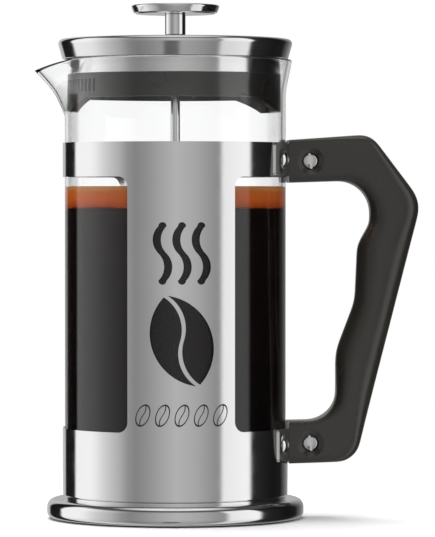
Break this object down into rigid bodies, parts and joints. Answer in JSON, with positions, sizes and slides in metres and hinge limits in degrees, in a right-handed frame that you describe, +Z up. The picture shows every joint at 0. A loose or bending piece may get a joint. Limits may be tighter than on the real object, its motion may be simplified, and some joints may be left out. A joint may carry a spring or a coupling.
{
  "type": "french press",
  "caption": "Coffee press: a clear glass beaker with a spout in a pierced polished steel sleeve on a ringed base, with a black side handle, a steel lid, and a knobbed plunger with a filter.",
  "frame": {"origin": "middle of the foot pad's underside, on the surface the press stands on", "axes": "+Z up along the beaker's axis, +X to the handle, -X to the spout, -Y to the pierced front upright"},
  "size_m": [0.1662, 0.1114, 0.2225],
  "materials": {
    "polished_steel": "polished stainless steel sheet and rod",
    "plain_steel": "plain stainless steel, as stamped or turned",
    "black_plastic": "black moulded plastic, satin",
    "black_rubber": "black soft pad",
    "clear_glass": "clear borosilicate glass",
    "steel_mesh": "fine woven stainless mesh"
  },
  "bodies": {
    "frame": {"foot_pad": "black_rubber", "base_floor": "plain_steel", "base_ring": "polished_steel", "glass_cushion": "black_rubber", "frame_sleeve": "polished_steel", "upper_bracket": "polished_steel", "lower_bracket": "polished_steel", "upper_rivets": "polished_steel", "lower_rivets": "polished_steel", "handle": "black_plastic", "upper_screw": "polished_steel", "upper_barrel_nut": "polished_steel", "lower_screw": "polished_steel", "lower_barrel_nut": "polished_steel"},
    "beaker": {"glass_beaker": "clear_glass"},
    "guide": {"rod_guide": "plain_steel", "guide_washer": "plain_steel", "guide_nut": "plain_steel"},
    "lid": {"lid_cap": "polished_steel", "lid_skirt": "polished_steel", "strainer_collar": "black_plastic"},
    "plunger": {"plunger_rod": "polished_steel", "knob_stem": "polished_steel", "knob_base": "polished_steel", "knob_cap": "polished_steel", "cross_plate": "plain_steel", "mesh_screen": "steel_mesh", "edge_spring": "plain_steel", "spiral_plate": "plain_steel", "filter_hub": "plain_steel"}
  },
  "joints": [
    {"name": "beaker_lift", "type": "slide", "parent": "frame", "child": "beaker", "axis": [0, 0, 1], "range_m": [0, 0.165]},
    {"name": "lid_lift", "type": "slide", "parent": "beaker", "child": "guide", "axis": [0, 0, 1], "range_m": [0, 0.195]},
    {"name": "lid_turn", "type": "hinge", "parent": "guide", "child": "lid", "pos_m": [0, 0, 0.2], "axis": [0, 0, 1], "continuous": true},
    {"name": "plunger_press", "type": "slide", "parent": "guide", "child": "plunger", "axis": [0, 0, 1], "range_m": [0, 0.155]}
  ]
}
